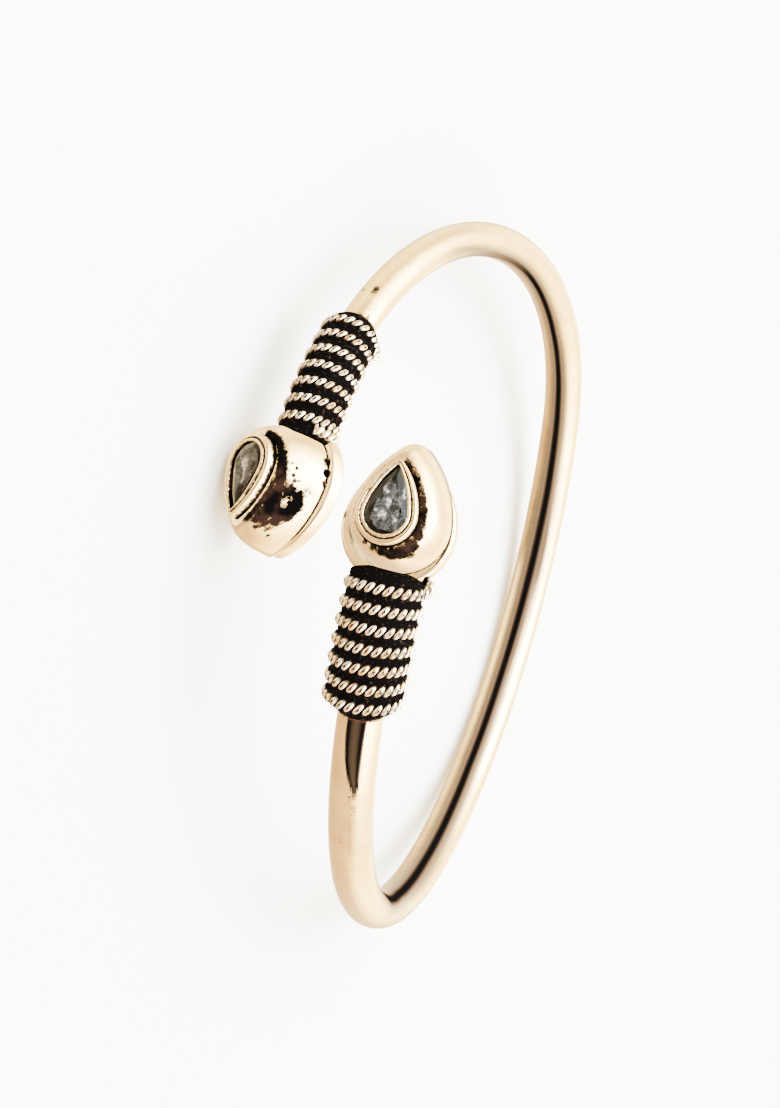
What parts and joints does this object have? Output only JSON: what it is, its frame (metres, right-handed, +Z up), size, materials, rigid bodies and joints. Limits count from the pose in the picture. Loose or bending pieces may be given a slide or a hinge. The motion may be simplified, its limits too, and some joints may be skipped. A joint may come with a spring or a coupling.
{
  "type": "open bypass bangle bracelet with stone-set heads",
  "caption": "Open springy bangle of round metal wire whose ends pass each other, each with a twisted-wire winding and a pear-shaped domed head holding a cut stone.",
  "frame": {"origin": "on the ground it lies on, under the middle of its bounding box", "axes": "+Z up with the bangle lying on its side, -Y towards the open front with the two heads, +X towards the arm that carries the upper head"},
  "size_m": [0.0697, 0.0738, 0.0196],
  "materials": {
    "polished_metal": "polished pale warm metal with fine scratches",
    "antiqued_metal": "polished pale warm metal, blackened in its recesses",
    "blackened_metal": "blackened, dull",
    "cut_stone": "polished facets, grey and cloudy inside"
  },
  "bodies": {
    "root": {"hoop_wire": "polished_metal", "right_core": "blackened_metal", "left_core": "blackened_metal", "right_rope": "antiqued_metal", "left_rope": "antiqued_metal", "right_head": "antiqued_metal", "left_head": "antiqued_metal", "right_stone": "cut_stone", "left_stone": "cut_stone"}
  },
  "joints": []
}
